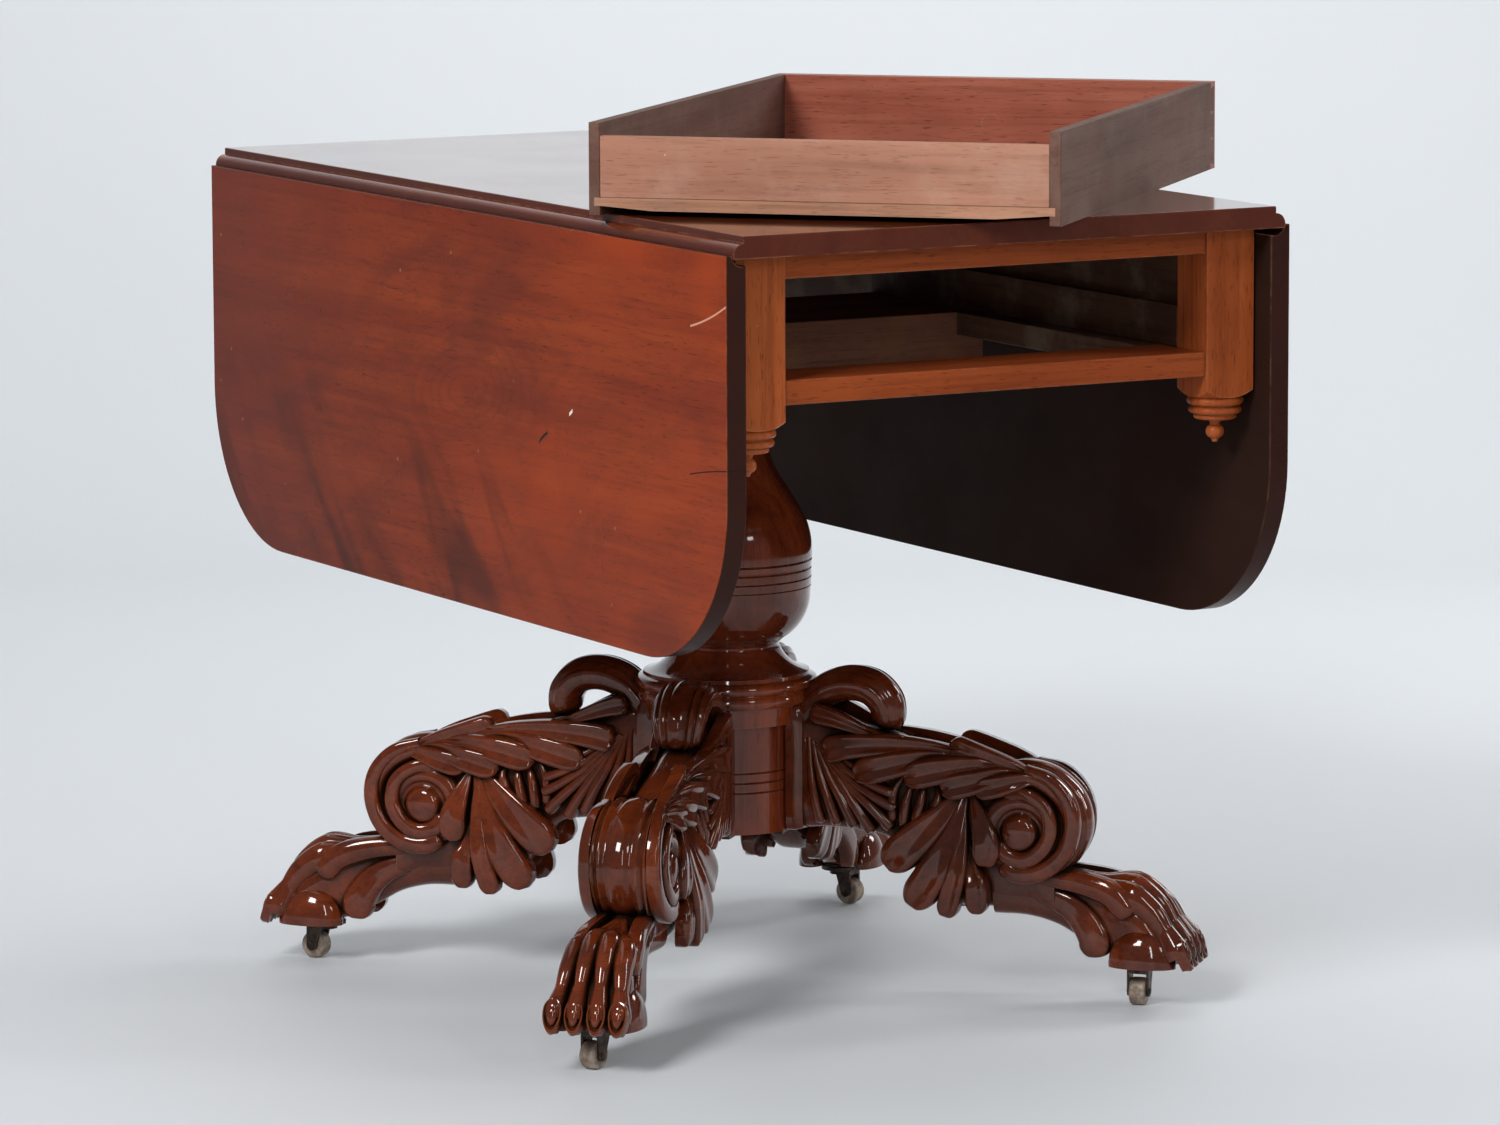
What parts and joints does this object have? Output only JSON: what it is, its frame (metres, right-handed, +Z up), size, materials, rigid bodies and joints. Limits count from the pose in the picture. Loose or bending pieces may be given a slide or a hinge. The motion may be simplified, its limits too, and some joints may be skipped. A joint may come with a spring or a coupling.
{
  "type": "drop-leaf pedestal table",
  "caption": "Drop-leaf table on a vase-turned pedestal with carved scroll legs, paw feet and casters; leaves hang, the drawer lies on the top.",
  "frame": {"origin": "on the floor, under the middle of all that the table covers with its drawer lying askew on the top; the column's axis stands 40.6 mm to -X and 32.25 mm to +Y of it", "axes": "+Z up; +Y along the top, away from the open drawer end; +X towards the right-hand leaf"},
  "size_m": [0.7566, 1.0806, 0.816],
  "materials": {
    "figured_mahogany": "polished, figured veneer",
    "frame_mahogany": "satin, worn",
    "turned_mahogany": "gloss, dark",
    "carved_mahogany": "gloss, dark in the recesses",
    "drawer_lining": "bare, grey-brown, dusty",
    "inner_wood": "bare, worn",
    "hinge_iron": "dull, dark",
    "caster_iron": "dark, worn",
    "caster_brass": "dull, worn"
  },
  "bodies": {
    "table": {"top_board": "figured_mahogany", "hinge_plates": "hinge_iron", "hinge_pins": "hinge_iron", "hinge_plate_screws": "hinge_iron", "bracket_pins": "hinge_iron", "tie_plate": "hinge_iron", "tie_screws": "hinge_iron", "post_front_left": "frame_mahogany", "finial_front_left": "frame_mahogany", "leg_front_left": "carved_mahogany", "post_front_right": "frame_mahogany", "finial_front_right": "frame_mahogany", "leg_front_right": "carved_mahogany", "post_rear_left": "frame_mahogany", "finial_rear_left": "frame_mahogany", "leg_rear_left": "carved_mahogany", "post_rear_right": "frame_mahogany", "finial_rear_right": "frame_mahogany", "leg_rear_right": "carved_mahogany", "rail_upper": "frame_mahogany", "rail_lower": "frame_mahogany", "apron_left": "inner_wood", "apron_right": "inner_wood", "apron_rear": "inner_wood", "bearer_block": "inner_wood", "drawer_runners": "inner_wood", "drawer_guides": "inner_wood", "drawer_kickers": "inner_wood", "fly_rail_left": "inner_wood", "fly_rail_right": "inner_wood", "fly_brackets": "inner_wood", "glue_blocks": "inner_wood", "column": "turned_mahogany", "drum": "turned_mahogany", "caster_plates": "caster_iron"},
    "leaf_left": {"leaf_left": "figured_mahogany", "hinge_flaps_left": "hinge_iron", "hinge_flap_screws_left": "hinge_iron"},
    "leaf_right": {"leaf_right": "figured_mahogany", "hinge_flaps_right": "hinge_iron", "hinge_flap_screws_right": "hinge_iron"},
    "drawer": {"drawer_side_left": "drawer_lining", "drawer_side_right": "drawer_lining", "drawer_front": "figured_mahogany", "drawer_back": "drawer_lining", "drawer_bottom": "drawer_lining", "drawer_knob": "figured_mahogany"},
    "fork_front_right": {"caster_fork_front_right": "caster_iron", "caster_axle_front_right": "caster_iron"},
    "roller_front_right": {"caster_wheel_front_right": "caster_brass"},
    "fork_rear_right": {"caster_fork_rear_right": "caster_iron", "caster_axle_rear_right": "caster_iron"},
    "roller_rear_right": {"caster_wheel_rear_right": "caster_brass"},
    "fork_rear_left": {"caster_fork_rear_left": "caster_iron", "caster_axle_rear_left": "caster_iron"},
    "roller_rear_left": {"caster_wheel_rear_left": "caster_brass"},
    "fork_front_left": {"caster_fork_front_left": "caster_iron", "caster_axle_front_left": "caster_iron"},
    "roller_front_left": {"caster_wheel_front_left": "caster_brass"}
  },
  "joints": [
    {"name": "leaf_left_hinge", "type": "hinge", "parent": "table", "child": "leaf_left", "pos_m": [-0.3006, 0.03225, 0.7215], "axis": [0, 1, 0], "range_deg": [0, 90]},
    {"name": "leaf_right_hinge", "type": "hinge", "parent": "table", "child": "leaf_right", "pos_m": [0.2194, 0.03225, 0.7215], "axis": [0, -1, 0], "range_deg": [0, 90]},
    {"name": "drawer_lift", "type": "slide", "parent": "table", "child": "drawer", "axis": [0, 0, 1], "range_m": [0, 0.3]},
    {"name": "swivel_front_right", "type": "hinge", "parent": "table", "child": "fork_front_right", "pos_m": [0.23376, -0.24211, 0.03], "axis": [0, 0, 1], "continuous": true},
    {"name": "roll_front_right", "type": "hinge", "parent": "fork_front_right", "child": "roller_front_right", "pos_m": [0.22598, -0.24989, 0.0125], "axis": [0.7071, -0.7071, 0], "continuous": true},
    {"name": "swivel_rear_right", "type": "hinge", "parent": "table", "child": "fork_rear_right", "pos_m": [0.23376, 0.30661, 0.03], "axis": [0, 0, 1], "continuous": true},
    {"name": "roll_rear_right", "type": "hinge", "parent": "fork_rear_right", "child": "roller_rear_right", "pos_m": [0.23926, 0.29708, 0.0125], "axis": [0.866, 0.5, 0], "continuous": true},
    {"name": "swivel_rear_left", "type": "hinge", "parent": "table", "child": "fork_rear_left", "pos_m": [-0.31496, 0.30661, 0.03], "axis": [0, 0, 1], "continuous": true},
    {"name": "roll_rear_left", "type": "hinge", "parent": "fork_rear_left", "child": "roller_rear_left", "pos_m": [-0.32127, 0.31562, 0.0125], "axis": [-0.8192, -0.5736, 0], "continuous": true},
    {"name": "swivel_front_left", "type": "hinge", "parent": "table", "child": "fork_front_left", "pos_m": [-0.31496, -0.24211, 0.03], "axis": [0, 0, 1], "continuous": true},
    {"name": "roll_front_left", "type": "hinge", "parent": "fork_front_left", "child": "roller_front_left", "pos_m": [-0.32493, -0.24676, 0.0125], "axis": [0.4226, -0.9063, 0], "continuous": true}
  ]
}
